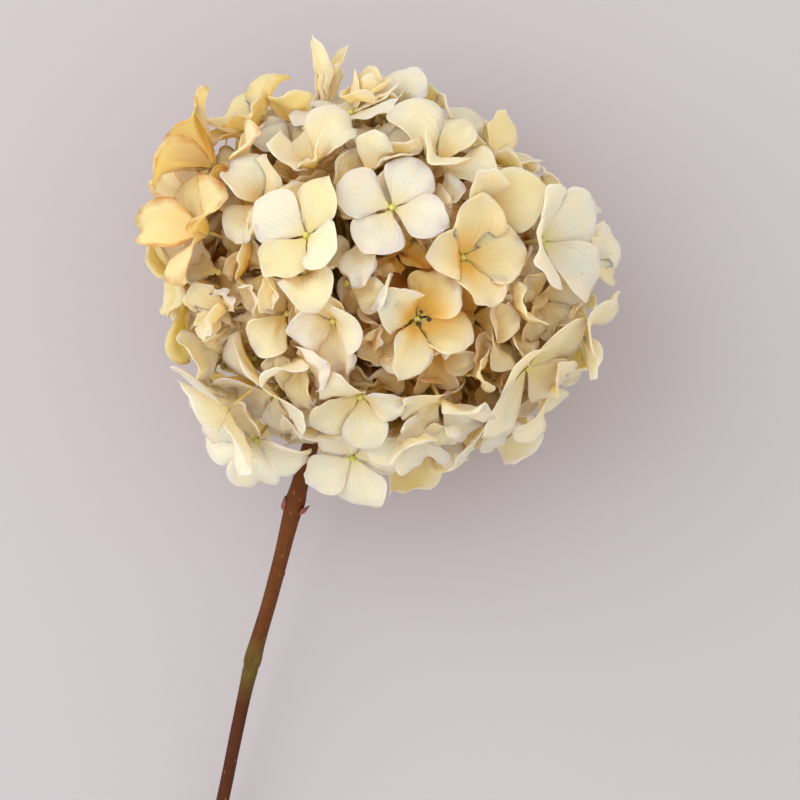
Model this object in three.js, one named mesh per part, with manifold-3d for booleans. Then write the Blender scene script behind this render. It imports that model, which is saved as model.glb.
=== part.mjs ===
// A cut mophead hydrangea lying on a table. A woody stem forks at its tip into rays, and each ray
// forks again into a twig for every floret. A floret is four papery sepals round a bead, on its
// own pedicel. Millimetres, +Z up: the stem runs along Y with the head at +Y, the table is Z = 0,
// and the origin is on the table under the middle of the whole cutting.
import * as THREE from "three";
import { mergeVertices } from "three/addons/utils/BufferGeometryUtils.js";
import Module from "manifold-3d";

const wasm = await Module();
wasm.setup();

// Driving dimensions of the head.
const eyeSphere = new THREE.Vector3(72, 56, 64); // half sizes of the ball that the florets' beads lie on
const restGap = 2.5; // from the ball down to the table, which presses the lowest sepals flat
const coreRadius = 45; // the twigs end here, and the pedicels begin
const clearance = 0.3; // between pieces that meet face to face
const petalGap = 0.8; // between the sepals of two florets
const leastShare = 0.05; // of its reach, that a crowded sepal keeps

// A floret.
const sepalReach = 25; // from the bead to a sepal's tip
const sepalRise = 9; // how far the tips stand above the bead
const sepalThickness = 0.9;
const notchShare = 0.36; // reach between two sepals, as a share of the tip's
const lobeFlat = 1.25; // over 1 broadens a sepal's tip
const lobeFullness = 0.7; // under 1 fills out a sepal's sides
const keelRise = 1.6; // how far a sepal's two sides stand above its middle line
const pressedBelow = 13.5; // a floret whose bead is lower than this over the table is pressed flat
const creaseShare = 0.66; // where a pressed sepal bends, as a share of its reach
const beadRadius = 1.9;
const beadHeight = 1.7;
const pedicelRadius = 0.95;
const floretSides = 24;

// Rays and twigs.
const hub = new THREE.Vector3(-9, -30, -6); // the stem's tip, from the head's centre
const hubRadius = 4.4; // the stem swells into a round knob here
const hubSides = 16;
const rayCount = 7;
const rayLength = 17;
const raySplay = 66; // degrees between the middle ray and the six round it
const rayRadius = 1.7;
const twigRadius = 1.05;
const twigEndRun = 9; // how far a twig runs straight out at its end
const twigRings = 4;
const limbSides = 6;

// The stem slopes from the hub down to its cut end on the table. A bend says how far along it is, as
// a share, and how far the stem stands aside and below a straight line there.
const stemRun = 241; // along Y, from the hub to the cut
const stemTipRadius = 3.2;
const stemCutRadius = 2.4;
const stemTaperRun = 0.625; // share of the length over which the stem thins
const stemCutLean = 0.75; // slope of the slanting cut
const stemSides = 14;
const stemSteps = 50; // a ring falls on the middle of every node
const stemBends = [
  { at: 0, aside: 0, sag: 0 },
  { at: 0.11, aside: -2, sag: 0.3 },
  { at: 0.245, aside: -3.2, sag: 0.6 },
  { at: 0.365, aside: -3.8, sag: 1 },
  { at: 0.49, aside: -5.2, sag: 1.4 },
  { at: 0.69, aside: -4.4, sag: 1.2 },
  { at: 0.855, aside: -3.2, sag: 0.8 },
  { at: 1, aside: -2, sag: 0 },
];
const stemNodes = [
  { at: 0.24, swell: 0.95, spread: 0.013 },
  { at: 0.48, swell: 0.6, spread: 0.02 },
  { at: 0.84, swell: 0.6, spread: 0.02 },
];
const budScale = {
  length: 6.5,
  radius: 1.25,
  aside: 4.4, // how far the scale bulges away from the stem
  tipAside: 3.2,
  tipLift: 0.6,
  taper: 1.45, // radians of a cosine from foot to tip
  sides: 8,
  steps: 5,
};
const stemRoom = 2.2; // between the stem and the sepals round it
const stemLeave = 0.3; // share of the stem's length at which it is taken to be clear of the head

// Florets on the upper side, placed one by one: across and along are shares of the ball's half
// sizes, lift is how far the bead stands off the ball, turn is the sepals' turn in degrees, face
// leans the floret, in degrees towards +X and towards +Y, and reach is a share of sepalReach.
const upperFlorets = [
  { across: -0.014, along: 0.375, lift: 4, turn: 80, face: [0, 0], reach: 0.95 },
  { across: -0.347, along: 0.107, lift: 5, turn: 70, face: [-10, 0], reach: 0.95 },
  { across: 0.389, along: 0.232, lift: -5, turn: 20, face: [8, 4], reach: 1.05 },
  { across: 0.681, along: 0.428, lift: 3, turn: 60, face: [6, -6], reach: 1.1 },
  { across: 0.792, along: -0.339, lift: 0, turn: 35, face: [4, -10], reach: 1.15 },
  { across: 0.042, along: -0.75, lift: 0, turn: 30, face: [0, -8], reach: 1.05 },
  { across: -0.819, along: 0.017, lift: 3, turn: 15, face: [-14, 8], reach: 1.1 },
  { across: -0.847, along: 0.407, lift: 6, turn: 55, face: [-6, 10], reach: 1.15 },
  { across: -0.72, along: 0.668, lift: 3, turn: 40, face: [-8, 14], reach: 1.05 },
  { across: -0.667, along: -0.411, lift: 1, turn: 62, face: [-4, 0], reach: 0.95 },
  { across: -0.375, along: -0.84, lift: 1, turn: 45, face: [0, -6], reach: 1 },
  { across: -0.47, along: -0.84, lift: 14, turn: 12, face: [-6, -10], reach: 1.05 },
  { across: 0.417, along: -0.661, lift: 0, turn: 55, face: [0, -6], reach: 1.05 },
  { across: 0.681, along: -0.708, lift: 1, turn: 10, face: [6, -8], reach: 1.05 },
  { across: 0.236, along: -0.232, lift: -5, turn: 75, face: [-4, 6], reach: 1 },
  { across: -0.167, along: -0.357, lift: -2, turn: 25, face: [-8, -8], reach: 1 },
  { across: 0.389, along: 0.872, lift: 1, turn: 38, face: [4, 8], reach: 1 },
  { across: 0.139, along: 0.761, lift: 0, turn: 68, face: [0, 4], reach: 1.05 },
  { across: 0.681, along: 0.708, lift: 0, turn: 15, face: [6, 4], reach: 1 },
  { across: 0.9, along: 0.394, lift: 2, turn: 42, face: [8, 0], reach: 1.05 },
  { across: 0.98, along: -0.014, lift: 2, turn: 70, face: [8, 0], reach: 1.1 },
  { across: 0.9, along: -0.394, lift: 2, turn: 5, face: [8, -6], reach: 1.05 },
  { across: -0.31, along: 0.905, lift: 4, turn: 46, face: [0, -6], reach: 1.1 },
  { across: -0.431, along: 0.553, lift: 0, turn: 35, face: [-4, 4], reach: 1 },
  { across: -0.528, along: 0.828, lift: 1, turn: 70, face: [-4, 12], reach: 1 },
  { across: -0.167, along: 0.968, lift: 2, turn: 20, face: [0, 14], reach: 1.05 },
  { across: 0.264, along: 0.946, lift: 0, turn: 52, face: [0, 8], reach: 1 },
  { across: 0.306, along: -0.86, lift: 1, turn: 28, face: [2, -10], reach: 1.05 },
  { across: -0.042, along: -0.981, lift: 0, turn: 60, face: [4, -12], reach: 1 },
  { across: -0.917, along: -0.352, lift: 0, turn: 48, face: [-8, -4], reach: 1 },
];

// Florets on the underside follow a golden-angle spiral round the downward pole.
const underCount = 21;
const underFrom = -0.97; // height of the spiral's first floret, as a share of the ball's half depth
const underTo = -0.2;
const underTwist = 60; // degrees
const underReach = 1.12;
const underTurn = 37; // degrees from one floret's sepals to the next one's
const stemBare = 24; // no floret within this many degrees of the stem's line

const goldenAngle = Math.PI * (3 - Math.sqrt(5));
const headHeight = eyeSphere.z + restGap;
const headCentre = new THREE.Vector3(0, 0, headHeight);
const stemCurve = new THREE.CatmullRomCurve3(
  stemBends.map(({ at, aside, sag }) => {
    const height = THREE.MathUtils.lerp(headHeight + hub.z, stemCutRadius, at);
    return new THREE.Vector3(hub.x + aside, hub.y - stemRun * at, height - sag);
  }),
);
const radians = THREE.MathUtils.degToRad;

const finishes = {
  sepal: { color: 0xf0e2bf, roughness: 0.75, metalness: 0 },
  twig: { color: 0xb9a65c, roughness: 0.7, metalness: 0 },
  bark: { color: 0x7a452b, roughness: 0.6, metalness: 0 },
  budScale: { color: 0x8a4436, roughness: 0.65, metalness: 0 },
};
const material = (finish) => new THREE.MeshStandardMaterial(finishes[finish]);

// Where every floret's bead is, from the head's centre, and which way the floret faces.
function placeFlorets() {
  const stemWay = stemCurve.getPointAt(stemLeave).sub(headCentre).normalize();
  const places = upperFlorets.map((floret) => {
    const { across, along } = floret;
    const up = Math.sqrt(Math.max(0, 1 - across ** 2 - along ** 2));
    return { ...floret, eye: new THREE.Vector3(across, along, up).multiply(eyeSphere) };
  });
  for (let i = 0; i < underCount; i++) {
    const z = THREE.MathUtils.lerp(underFrom, underTo, i / (underCount - 1));
    const angle = radians(underTwist) + i * goldenAngle;
    const wide = Math.sqrt(1 - z * z);
    const eye = new THREE.Vector3(wide * Math.cos(angle), wide * Math.sin(angle), z);
    eye.multiply(eyeSphere);
    if (eye.angleTo(stemWay) < radians(stemBare)) continue;
    places.push({ eye, lift: 0, turn: underTurn * i, face: [0, 0], reach: underReach });
  }
  for (const place of places) {
    place.way = place.eye.clone().normalize();
    place.eye.addScaledVector(place.way, place.lift);
    const [east, north] = place.face.map((lean) => Math.tan(radians(lean)));
    place.normal = place.way.clone().add(new THREE.Vector3(east, north, 0)).normalize();
  }
  return places;
}

// Flat walls round each floret, through the head's centre and midway to each neighbour, and one
// beside the stem. A sepal that would cross a wall is drawn in towards its bead.
function wallsRound(place, places) {
  const walls = [];
  for (const other of places) {
    if (other === place) continue;
    const normal = other.way.clone().sub(place.way).normalize();
    walls.push({ normal, limit: -petalGap / 2 });
  }
  const world = place.eye.clone().add(headCentre);
  let nearest = stemCurve.getPointAt(0);
  for (const point of stemCurve.getSpacedPoints(stemSteps)) {
    if (point.distanceTo(world) < nearest.distanceTo(world)) nearest = point;
  }
  const normal = nearest.clone().sub(world).normalize();
  const limit = normal.dot(nearest.sub(headCentre)) - stemTipRadius - stemRoom;
  walls.push({ normal, limit });
  return walls;
}

function drawnIn(point, eye, walls) {
  let share = 1;
  const reach = point.clone().sub(eye);
  for (const { normal, limit } of walls) {
    const towards = normal.dot(reach);
    if (towards > 1e-6) share = Math.min(share, (limit - normal.dot(eye)) / towards);
  }
  return eye.clone().addScaledVector(reach, Math.max(share, leastShare));
}

// Share of the full reach at an angle round the bead: four broad sepals with notches between.
function outline(angle) {
  const lobe = Math.abs(Math.cos(2 * angle));
  return notchShare + (1 - notchShare) * Math.min(1, lobe * lobeFlat) ** lobeFullness;
}

// One floret as a lathed stack of rings, shaped into four sepals, then placed and fitted.
function floretGeometry(place, places) {
  const reach = sepalReach * place.reach;
  const pedicelLength = place.eye.length() - coreRadius - clearance / 2;
  const rests = headHeight + place.eye.z < pressedBelow;
  const shares = rests ? [creaseShare, 1] : [1];
  const under = shares.map((share) => [share * reach, -sepalThickness]);
  const over = shares.map((share) => [share * reach, 0]).reverse();
  const stalk = [
    [0, -pedicelLength],
    [pedicelRadius, -pedicelLength],
    [pedicelRadius, -sepalThickness],
  ];
  const bead = [
    [beadRadius, 0],
    [0, beadHeight],
  ];
  const rings = [...stalk, ...under, ...over, ...bead];
  const profile = rings.map(([x, y]) => new THREE.Vector2(x, y));
  const geometry = new THREE.LatheGeometry(profile, floretSides);
  const facing = facingBasis(place.normal, place.turn);
  const root = facingBasis(place.way, place.turn);
  const walls = wallsRound(place, places);
  const position = geometry.getAttribute("position");
  const point = new THREE.Vector3();
  for (let i = 0; i < position.count; i++) {
    point.fromBufferAttribute(position, i);
    const ring = i % rings.length;
    const isPedicel = ring < stalk.length - 1;
    const isUnder = ring >= stalk.length && ring < stalk.length + under.length;
    const isOver = !isUnder && ring >= stalk.length && ring < rings.length - bead.length;
    if (isUnder || isOver) {
      const angle = Math.atan2(point.z, point.x);
      const out = outline(angle);
      const rise = (sepalRise + keelRise * Math.abs(Math.sin(2 * angle))) / reach;
      point.y += rise * out * Math.hypot(point.x, point.z);
      point.x *= out;
      point.z *= out;
    }
    point.applyMatrix4(isPedicel ? root : facing).add(place.eye);
    if (isUnder || isOver) {
      point.copy(drawnIn(point, place.eye, walls));
      point.z = Math.max(point.z, (isUnder ? sepalThickness : 0) - headHeight);
    }
    position.setXYZ(i, point.x, point.y, point.z);
  }
  return geometry.translate(headCentre.x, headCentre.y, headCentre.z);
}

// Turns +Y to face along a normal, with +X turned by an angle round it.
function facingBasis(normal, turn) {
  const side = new THREE.Vector3(1, 0, 0);
  side.addScaledVector(normal, -side.dot(normal));
  if (side.length() < 0.2) side.set(0, 1, 0).addScaledVector(normal, -normal.y);
  side.normalize().applyAxisAngle(normal, radians(turn));
  return new THREE.Matrix4().makeBasis(side, normal, side.clone().cross(normal));
}

// A round limb along a curve: a lathed profile of radii, closed at both ends, bent onto the curve.
// endLean slants the face at the far end.
function limbGeometry(curve, radii, sides, endLean = 0) {
  const steps = radii.length - 1;
  const rings = radii.map((radius, i) => new THREE.Vector2(radius, i));
  const profile = [new THREE.Vector2(0, 0), ...rings, new THREE.Vector2(0, steps)];
  const geometry = new THREE.LatheGeometry(profile, sides);
  const { tangents, normals, binormals } = curve.computeFrenetFrames(steps);
  const position = geometry.getAttribute("position");
  const point = new THREE.Vector3();
  for (let i = 0; i < position.count; i++) {
    point.fromBufferAttribute(position, i);
    const step = Math.round(point.y);
    const lean = step === steps ? endLean * point.x : 0;
    const place = curve
      .getPointAt(step / steps)
      .addScaledVector(normals[step], point.x)
      .addScaledVector(binormals[step], -point.z)
      .addScaledVector(tangents[step], lean);
    position.setXYZ(i, place.x, place.y, place.z);
  }
  return geometry;
}

function stemRadiusAt(along) {
  const thinned = Math.min(1, along / stemTaperRun);
  let radius = THREE.MathUtils.lerp(stemTipRadius, stemCutRadius, thinned);
  for (const node of stemNodes) {
    radius += node.swell * Math.exp(-(((along - node.at) / node.spread) ** 2) / 2);
  }
  return radius;
}

function stemGeometry() {
  const radii = [];
  for (let i = 0; i <= stemSteps; i++) radii.push(stemRadiusAt(i / stemSteps));
  const limb = toSolid(limbGeometry(stemCurve, radii, stemSides, stemCutLean));
  const knob = new THREE.SphereGeometry(hubRadius, hubSides, hubSides / 2);
  const tip = stemCurve.getPointAt(0);
  return toGeometry(limb.add(toSolid(knob.translate(tip.x, tip.y, tip.z))));
}

// The two dried scales that flank the stem's upper node.
function budScaleGeometry(side) {
  const { length, radius, aside, tipAside, tipLift, taper, sides, steps } = budScale;
  const node = stemNodes[0];
  const middle = stemCurve.getPointAt(node.at);
  const away = stemRadiusAt(node.at) + clearance;
  const foot = middle.clone().add(new THREE.Vector3(side * away, 0, 0));
  const knee = foot.clone().add(new THREE.Vector3(side * aside, 0, 0));
  const tip = foot.clone().add(new THREE.Vector3(side * tipAside, length, tipLift));
  const curve = new THREE.QuadraticBezierCurve3(foot, knee, tip);
  const radii = [];
  for (let i = 0; i <= steps; i++) radii.push(radius * Math.cos((i / steps) * taper));
  return limbGeometry(curve, radii, sides);
}

function toSolid(geometry) {
  const plain = new THREE.BufferGeometry();
  plain.setAttribute("position", geometry.getAttribute("position"));
  plain.setIndex(geometry.getIndex());
  const merged = mergeVertices(plain, 1e-3);
  return new wasm.Manifold(
    new wasm.Mesh({
      numProp: 3,
      vertProperties: merged.getAttribute("position").array,
      triVerts: new Uint32Array(merged.getIndex().array),
    }),
  );
}

function toGeometry(solid) {
  const { vertProperties, triVerts } = solid.getMesh();
  const geometry = new THREE.BufferGeometry();
  geometry.setAttribute("position", new THREE.BufferAttribute(vertProperties, 3));
  geometry.setIndex(new THREE.BufferAttribute(triVerts, 1));
  geometry.computeVertexNormals();
  return geometry;
}

// The rays leave the stem's tip as one middle ray and a ring of six round it.
function rayWays() {
  const ways = [new THREE.Vector3(0, 1, 0)];
  for (let i = 1; i < rayCount; i++) {
    const round = ((i - 0.5) / (rayCount - 1)) * 2 * Math.PI;
    const out = Math.sin(radians(raySplay));
    ways.push(
      new THREE.Vector3(out * Math.cos(round), Math.cos(radians(raySplay)), out * Math.sin(round)),
    );
  }
  return ways;
}

// A ray with a twig to every floret that it carries.
function rayGeometry(way, florets) {
  const base = hub.clone().addScaledVector(way, hubRadius + clearance);
  const fork = hub.clone().addScaledVector(way, rayLength);
  const stalk = new THREE.LineCurve3(base, fork);
  let solid = toSolid(limbGeometry(stalk, [rayRadius, rayRadius], limbSides));
  for (const floret of florets) {
    const end = floret.way.clone().multiplyScalar(coreRadius - clearance / 2);
    const bend = floret.way.clone().multiplyScalar(coreRadius - twigEndRun);
    const start = fork.clone().addScaledVector(way, -rayRadius);
    const curve = new THREE.CubicBezierCurve3(start, fork, bend, end);
    const radii = Array(twigRings).fill(twigRadius);
    solid = solid.add(toSolid(limbGeometry(curve, radii, limbSides)));
  }
  return toGeometry(solid).translate(headCentre.x, headCentre.y, headCentre.z);
}

function named(name, geometry, finish) {
  const mesh = new THREE.Mesh(geometry, material(finish));
  mesh.name = name;
  return mesh;
}

const cutting = new THREE.Group();
cutting.add(named("stem", stemGeometry(), "bark"));
cutting.add(named("bud_scale_left", budScaleGeometry(-1), "budScale"));
cutting.add(named("bud_scale_right", budScaleGeometry(1), "budScale"));

const places = placeFlorets();
const ways = rayWays();
const carried = ways.map(() => []);
places.forEach((place, i) => {
  const number = String(i + 1).padStart(2, "0");
  cutting.add(named(`floret_${number}`, floretGeometry(place, places), "sepal"));
  const fromHub = place.way.clone().multiplyScalar(coreRadius).sub(hub);
  const angles = ways.map((way) => way.angleTo(fromHub));
  carried[angles.indexOf(Math.min(...angles))].push(place);
});
ways.forEach((way, i) => {
  cutting.add(named(`ray_${i + 1}`, rayGeometry(way, carried[i]), "twig"));
});

// Slides the cutting so that the origin is under the middle of it.
const span = new THREE.Box3().setFromObject(cutting, true);
const middle = span.getCenter(new THREE.Vector3());
cutting.position.set(-middle.x, -middle.y, 0);

export default cutting;
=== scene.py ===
import math
import bpy
import numpy as np
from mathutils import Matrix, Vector, kdtree
from mathutils.bvhtree import BVHTree


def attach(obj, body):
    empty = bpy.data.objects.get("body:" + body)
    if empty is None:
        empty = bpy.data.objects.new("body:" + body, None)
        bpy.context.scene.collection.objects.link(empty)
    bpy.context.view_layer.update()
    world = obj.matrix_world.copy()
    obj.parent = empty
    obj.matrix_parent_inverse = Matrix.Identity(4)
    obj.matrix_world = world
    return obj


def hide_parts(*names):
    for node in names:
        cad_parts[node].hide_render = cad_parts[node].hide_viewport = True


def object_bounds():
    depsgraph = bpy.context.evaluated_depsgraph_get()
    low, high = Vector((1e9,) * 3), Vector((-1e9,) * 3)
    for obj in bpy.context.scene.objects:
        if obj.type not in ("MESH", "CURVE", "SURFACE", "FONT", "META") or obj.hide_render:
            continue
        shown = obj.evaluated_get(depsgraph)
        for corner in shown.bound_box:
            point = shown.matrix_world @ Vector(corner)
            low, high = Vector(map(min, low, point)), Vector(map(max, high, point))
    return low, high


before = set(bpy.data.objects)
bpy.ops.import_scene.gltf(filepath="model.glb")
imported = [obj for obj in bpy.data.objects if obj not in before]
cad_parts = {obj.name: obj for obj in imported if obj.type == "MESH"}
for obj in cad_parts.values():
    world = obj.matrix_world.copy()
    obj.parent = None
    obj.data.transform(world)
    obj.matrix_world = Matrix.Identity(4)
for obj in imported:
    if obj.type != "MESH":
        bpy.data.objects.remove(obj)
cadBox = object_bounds()
random = np.random.default_rng(29)
mm = 0.001  # everything below is worked out in millimetres and built in metres


def unit(v):
    return v / np.maximum(np.linalg.norm(v, axis=-1, keepdims=True), 1e-9)


def smooth(x, low=0.0, high=1.0):
    x = np.clip((x - low) / (high - low), 0, 1)
    return x * x * (3 - 2 * x)


def nodePoints(node):
    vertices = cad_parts[node].data.vertices
    flat = np.empty(len(vertices) * 3, np.float32)
    vertices.foreach_get("co", flat)
    return flat.reshape(-1, 3).astype(float) / mm


# where the florets are, read back from the frame

floretNodes = sorted(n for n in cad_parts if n.startswith("floret_"))
rayNodes = sorted(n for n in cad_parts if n.startswith("ray_"))
floretPoints = {n: nodePoints(n) for n in floretNodes}

floretReading = {
    "footBand": 0.5,  # the pedicel's foot is this near the point closest to the head's middle
    "beadRadius": 0.9,
    "beadTop": 2.55,  # from the eye to the top of the bead
    "beadTopBand": 0.12,
    "claw": 6.0,  # points nearer the eye than this say nothing about how the floret is turned
}


def pedicelFoot(points, middle):
    reach = np.linalg.norm(points - middle, axis=1)
    return np.unique(points[reach < reach.min() + floretReading["footBand"]].round(3), axis=0).mean(0)


def findHeadCentre():
    middle = np.vstack(list(floretPoints.values())).mean(0)
    for _ in range(3):  # the pedicels' feet all lie on one ball
        feet = np.array([pedicelFoot(p, middle) for p in floretPoints.values()])
        ball = np.hstack([2 * feet, np.ones((len(feet), 1))])
        middle = np.linalg.lstsq(ball, (feet**2).sum(1), rcond=None)[0][:3]
    return middle


headCentre = findHeadCentre()
print("head centre", headCentre.round(2))


def floretBasis(normal, turn):  # the way the first sepal points
    side = np.array([1.0, 0, 0]) - normal[0] * normal
    if np.linalg.norm(side) < 0.2:
        side = np.array([0, 1.0, 0]) - normal[1] * normal
    side = unit(side)
    other = np.cross(normal, side)
    return math.cos(turn) * side + math.sin(turn) * other


def readFloret(node):
    points = floretPoints[node]
    foot = pedicelFoot(points, headCentre)
    way = unit(foot - headCentre)
    along = (points - headCentre) @ way
    off = np.linalg.norm(points - headCentre - along[:, None] * way, axis=1)
    tip = points[np.where(off < floretReading["beadRadius"], along, 0).argmax()]
    gap = abs(np.linalg.norm(points - tip, axis=1) - floretReading["beadTop"])
    eye = np.unique(points[gap < floretReading["beadTopBand"]].round(3), axis=0).mean(0)
    normal = unit(tip - eye)
    side = floretBasis(normal, 0)
    spokes = points - eye
    size = np.linalg.norm(spokes, axis=1)
    rim = size > floretReading["claw"]
    rim &= along > (eye - headCentre) @ way - 2
    turn = np.arctan2(spokes[rim] @ np.cross(normal, side), spokes[rim] @ side)
    turn = np.angle((size[rim] ** 3 * np.exp(4j * turn)).sum()) / 4
    return {"node": node, "eye": eye, "normal": normal, "turn": turn, "reach": size[rim].max()}


florets = [readFloret(n) for n in floretNodes]
print("read", len(florets), "florets, reach", round(float(np.mean([f["reach"] for f in florets])), 1))


# the florets that the frame has no room for: between the outer ones, a little deeper

innerFlorets = {
    "count": 165,
    "tries": 1400,  # even directions to choose from
    "depth": (0.5, 11.0),  # below the outer florets' beads
    "coreCount": 64,  # more of them near the twigs, to close the deepest gaps
    "coreDepth": (12.0, 19.0),
    "lean": 0.36,  # how far they face away from straight out
    "clearOfStem": 13.0,  # degrees
    "clearOfBowl": 9.0,
    "reach": (23.0, 29.0),
}
bowlFlorets = ["floret_03", "floret_04", "floret_06"]  # open enough to show what lies behind them
hollow = {"at": (18.0, -3.0), "radius": 15.0, "depth": 9.0}  # where the head has opened a gap: the inner florets sit deeper there and the sepals take painted golden shade

stemReading = {
    "knob": 8.9,  # points this near the stem's top belong to the knob that carries the rays
    "margin": 4.0,  # above the slanting cut
    "steps": 60,
    "band": 2.5,
    "radiusBand": 4.0,
    "underHead": 40,  # the step from which the stem's way out of the head is read
}
stemPoints = nodePoints("stem")
stemTop = stemPoints[stemPoints[:, 1] > stemPoints[:, 1].max() - stemReading["knob"]].mean(0)


def stemLine():  # the middle of the frame's stem, from the cut up to the knob
    cuts = np.unique(stemPoints[:, 1].round(1))
    heights = np.linspace(stemPoints[:, 1].min() + stemReading["margin"], stemTop[1], stemReading["steps"])
    line = []
    for y in heights:
        near = stemPoints[abs(stemPoints[:, 1] - cuts[abs(cuts - y).argmin()]) < stemReading["band"]]
        line.append((near.min(0) + near.max(0)) / 2)
    line = np.array(line)
    line[:, 1] = heights
    for _ in range(2):
        line[1:-1] = (line[:-2] + line[1:-1] * 2 + line[2:]) / 4
    return line


stemWay = unit(stemLine()[stemReading["underHead"]] - headCentre)


def placeInner():
    outer = np.array([unit(f["eye"] - headCentre) for f in florets])
    radius = np.array([np.linalg.norm(f["eye"] - headCentre) for f in florets])
    n = innerFlorets["tries"]
    z = 1 - 2 * (np.arange(n) + 0.5) / n
    turn = np.arange(n) * math.pi * (3 - math.sqrt(5))
    wide = np.sqrt(1 - z * z)
    ways = np.stack([wide * np.cos(turn), wide * np.sin(turn), z], 1)
    ways = ways[ways @ stemWay < math.cos(math.radians(innerFlorets["clearOfStem"]))]
    bowls = outer[[f["node"] in bowlFlorets for f in florets]]
    ways = ways[(ways @ bowls.T).max(1) < math.cos(math.radians(innerFlorets["clearOfBowl"]))]
    taken = outer.copy()
    chosen = []
    for _ in range(innerFlorets["count"] + innerFlorets["coreCount"]):
        best = (ways @ taken.T).max(1).argmin()
        chosen.append(ways[best])
        taken = np.vstack([taken, ways[best]])
    placed = []
    for i, way in enumerate(chosen):
        weight = np.maximum(outer @ way, 0) ** 24
        surface = (radius * weight).sum() / weight.sum()
        depth = random.uniform(*innerFlorets["depth" if i < innerFlorets["count"] else "coreDepth"])
        aside = np.linalg.norm(way[:2] * surface - hollow["at"])
        if way[2] > 0 and i < innerFlorets["count"]:
            depth += hollow["depth"] * (1 - smooth(aside, 0.5 * hollow["radius"], hollow["radius"]))
        eye = headCentre + way * (surface - depth)
        normal = unit(way + innerFlorets["lean"] * random.normal(size=3))
        placed.append(
            {
                "node": None,
                "eye": eye,
                "normal": normal,
                "turn": random.uniform(0, math.pi / 2),
                "reach": random.uniform(*innerFlorets["reach"]),
            }
        )
    return placed


# florets that stand out of the round of the head: half open at its top, wide open round the stem
strayFlorets = [
    {"style": "upright", "at": (-34.0, 55.0, 10.0), "faces": (-0.12, 1.0, 0.2), "turn": 0.5, "reach": 27.0},
    {"style": "upright", "at": (-21.0, 53.0, 14.0), "faces": (0.05, 1.0, 0.3), "turn": 0.1, "reach": 25.0},
    {"style": "skirt", "at": (-30.0, -66.0, 6.0), "faces": (-0.3, -0.8, 0.75), "turn": 0.3, "reach": 24.0},
    {"style": "skirt", "at": (5.0, -64.0, 10.0), "faces": (0.1, -0.75, 0.8), "turn": 0.7, "reach": 24.0},
]
innerOnes = placeInner()
for stray in strayFlorets:
    place = {"node": None, "eye": headCentre + stray["at"], "normal": unit(np.array(stray["faces"]))}
    innerOnes.append({**stray, **place})
allFlorets = florets + innerOnes
print("placed", len(innerOnes), "inner florets")

# how a sepal is shaped. Angles in degrees, lengths in millimetres

sepalShape = {
    "length": (0.66, 0.88),  # shares of the floret's reach
    "width": (0.74, 1.08),  # shares of the length
    "rise": (14, 70),  # from the floret's plane, at the bead
    "curl": (-5, 66),  # back out again by the tip
    "tipRoll": (-40, 70),
    "cup": (0.05, 0.8),
    "twist": (-30, 30),
    "fold": (0, 26),
    "ruffle": (0.4, 1.5),
    "point": (-0.03, 0.12),
    "tone": (0.0, 0.8),  # from ivory to cream
}
shutRise = 82  # how steeply the sepals of a bud stand
sepalSeat = {"out": 0.7, "below": 0.6, "upperPair": 0.35}  # two sepals sit a little above the others

# florets that stand out, by how they have dried
flatFloret = {
    "rise": (10, 22),
    "curl": (0, 14),
    "cup": (0.08, 0.25),
    "tipRoll": (-8, 14),
    "fold": (0, 8),
    "width": (0.88, 1.0),
    "length": (0.7, 0.78),
    "twist": (-8, 8),
    "ruffle": (0.5, 0.9),
}
bowlFloret = {
    "rise": (42, 54),
    "curl": (24, 38),
    "cup": (0.4, 0.6),
    "width": (0.9, 1.02),
    "length": (0.8, 0.92),
    "twist": (-6, 6),
    "fold": (0, 8),
}
rolledFloret = {"tipRoll": (10, 75), "ruffle": (0.9, 1.7), "length": (0.78, 0.94), "tone": (0.8, 1.1)}
crinkledFloret = {"ruffle": (1.6, 2.3), "length": (0.5, 0.62), "rise": (45, 70), "twist": (-30, 30)}
whiteFloret = {"tone": (0.0, 0.1)}
broadFloret = {
    "rise": (4, 24),
    "curl": (0, 12),
    "length": (0.9, 1.04),
    "width": (0.9, 1.05),
    "cup": (0.1, 0.4),
}
uprightFloret = {
    "rise": (70, 84),
    "curl": (0, 8),
    "tipRoll": (-10, 10),
    "cup": (0.3, 0.6),
    "fold": (8, 20),
    "width": (0.5, 0.7),
    "length": (0.6, 0.95),
    "twist": (-6, 6),
    "tone": (0.5, 0.8),
    "ruffle": (0.1, 0.25),
    "point": (0.04, 0.12),
}
floretStyles = {
    "floret_01": {**flatFloret, **whiteFloret},
    "floret_02": {**flatFloret, "rise": (18, 32)},
    "floret_03": {**bowlFloret, "tone": (0.5, 0.8)},
    "floret_04": {**bowlFloret, **whiteFloret, "rise": (26, 44)},
    "floret_05": {**flatFloret, "length": (0.8, 0.9), "tone": (0.3, 0.6)},
    "floret_06": {**bowlFloret, "width": (0.7, 0.9)},
    "floret_11": {**broadFloret, **whiteFloret},
    "floret_12": {**broadFloret, **whiteFloret},
    "floret_29": {**broadFloret, "rise": (10, 40)},
    "upright": uprightFloret,
    "skirt": {**broadFloret, **whiteFloret, "length": (0.72, 0.86), "rise": (8, 30), "ruffle": (0.5, 1.0)},
    "floret_07": rolledFloret,
    "floret_08": rolledFloret,
    "floret_09": rolledFloret,
    "floret_10": crinkledFloret,
    "floret_14": {**flatFloret, **whiteFloret},
    "floret_19": crinkledFloret,
    "floret_23": {**flatFloret, **whiteFloret, "length": (0.76, 0.84)},
    "floret_25": rolledFloret,
    "floret_30": rolledFloret,
}

rows, columns = 7, 7
sepalCount = 4 * len(allFlorets)


def drawn(key, size=sepalCount):
    low, high = sepalShape[key]
    return random.uniform(low, high, size)


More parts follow.
